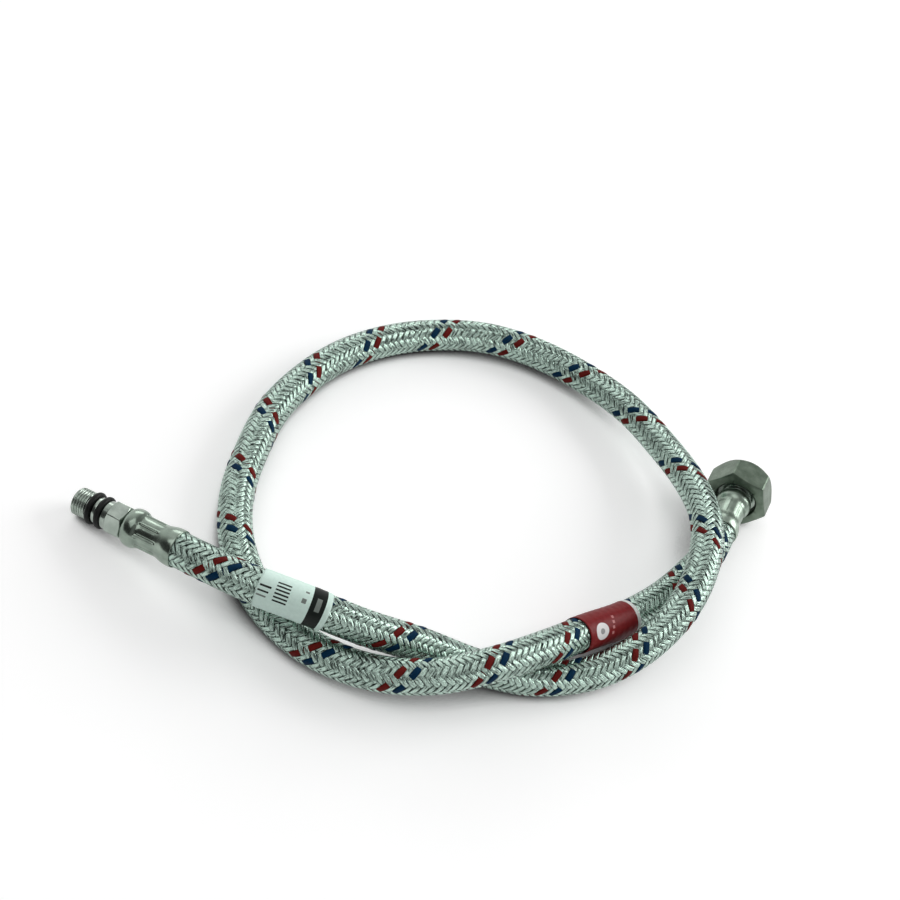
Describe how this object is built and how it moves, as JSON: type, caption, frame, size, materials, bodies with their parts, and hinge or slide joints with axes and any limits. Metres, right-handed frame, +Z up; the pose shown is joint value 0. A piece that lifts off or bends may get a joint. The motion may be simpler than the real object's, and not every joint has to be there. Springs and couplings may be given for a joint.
{
  "type": "braided tap connector",
  "caption": "Flexible steel-braided hose that joins a tap to a water pipe, with a short threaded tail at one end and a hexagonal swivel nut at the other, laid in one loose loop.",
  "frame": {"origin": "middle of the footprint, on the surface that the hose and the nut lie on", "axes": "+Z up, away from that surface; +Y along the swivel nut's axis, out of its mouth; the threaded tail points along -X, a little down"},
  "size_m": [0.2134, 0.1966, 0.031],
  "materials": {
    "braided_steel": "bright stainless wires in a flat braid",
    "tube_rubber": "matt black rubber",
    "crimped_steel": "bright pressed steel with crimp marks",
    "nickel_plate": "satin nickel plate on brass",
    "black_rubber": "smooth black rubber",
    "washer_rubber": "matt black rubber",
    "white_paper": "coated white label paper",
    "red_paper": "coated red label paper"
  },
  "bodies": {
    "hose": {"braid_sleeve": "braided_steel", "inner_tube": "tube_rubber", "tail_ferrule": "crimped_steel", "tail_fitting": "nickel_plate", "tail_o_ring_rear": "black_rubber", "tail_o_ring_front": "black_rubber", "nut_ferrule": "crimped_steel", "nut_nipple": "nickel_plate", "sealing_washer": "washer_rubber", "white_label": "white_paper", "red_label": "red_paper"},
    "nut": {"swivel_nut": "nickel_plate"}
  },
  "joints": [
    {"name": "nut_swivel", "type": "hinge", "parent": "hose", "child": "nut", "pos_m": [0.09344, 0.07695, 0.0115], "axis": [0, 1, 0], "continuous": true}
  ]
}
